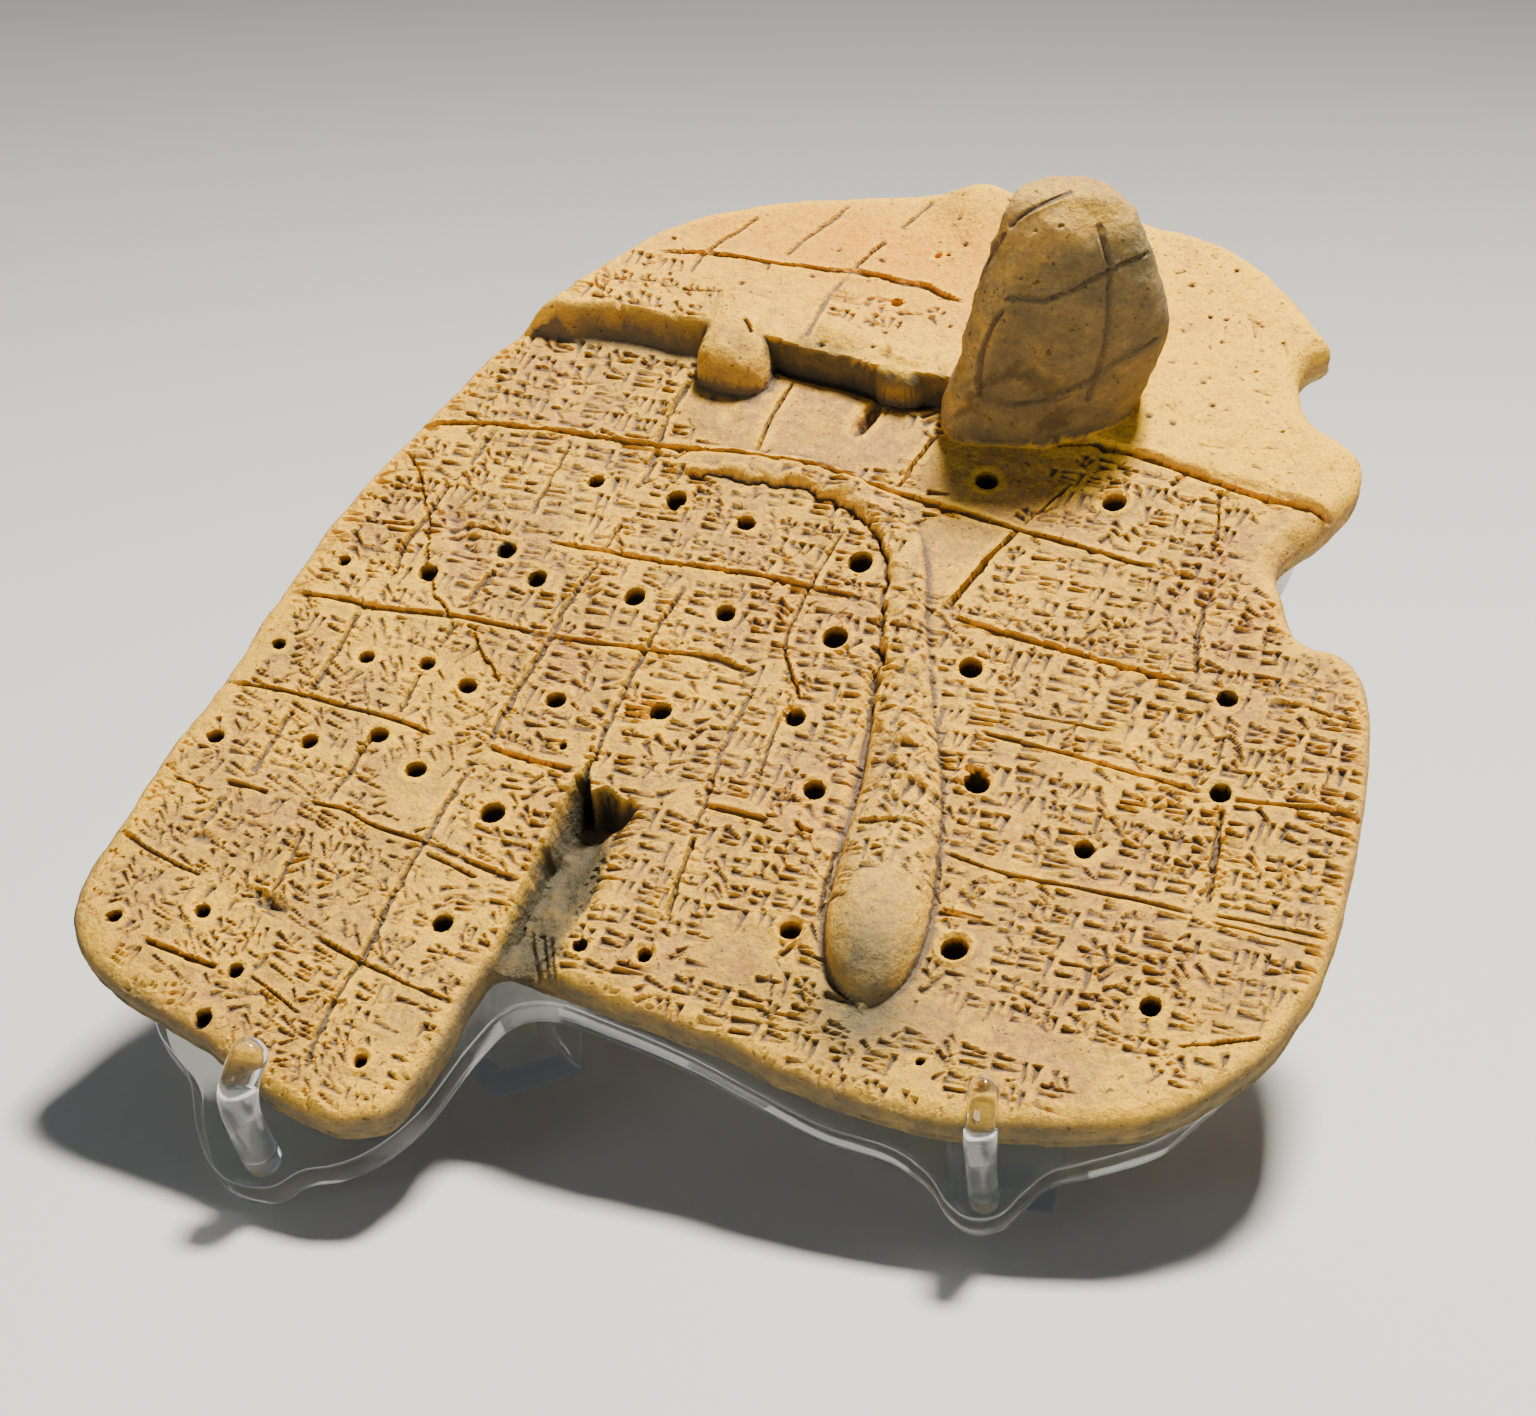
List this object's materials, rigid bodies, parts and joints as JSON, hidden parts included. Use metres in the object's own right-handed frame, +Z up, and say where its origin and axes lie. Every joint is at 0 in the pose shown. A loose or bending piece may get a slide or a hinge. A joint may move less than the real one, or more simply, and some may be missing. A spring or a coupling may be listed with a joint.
{
  "type": "clay liver model tablet on display cradle",
  "caption": "Clay liver-shaped cuneiform tablet with ruled cells, peg holes and a standing lobe, leaning on a clear acrylic cradle.",
  "frame": {"origin": "middle of the footprint, on the surface the cradle stands on", "axes": "+Z up, +X to the viewer's right along the front of the cradle, -Y towards the viewer; the inscribed face leans back towards +Y"},
  "size_m": [0.1476, 0.1264, 0.1072],
  "materials": {
    "clay": "matte baked clay, worn",
    "acrylic": "clear polished acrylic"
  },
  "bodies": {
    "root": {"tablet": "clay", "back_plate": "acrylic", "left_peg": "acrylic", "right_peg": "acrylic", "left_leg": "acrylic", "right_leg": "acrylic", "rear_leg": "acrylic"}
  },
  "joints": []
}
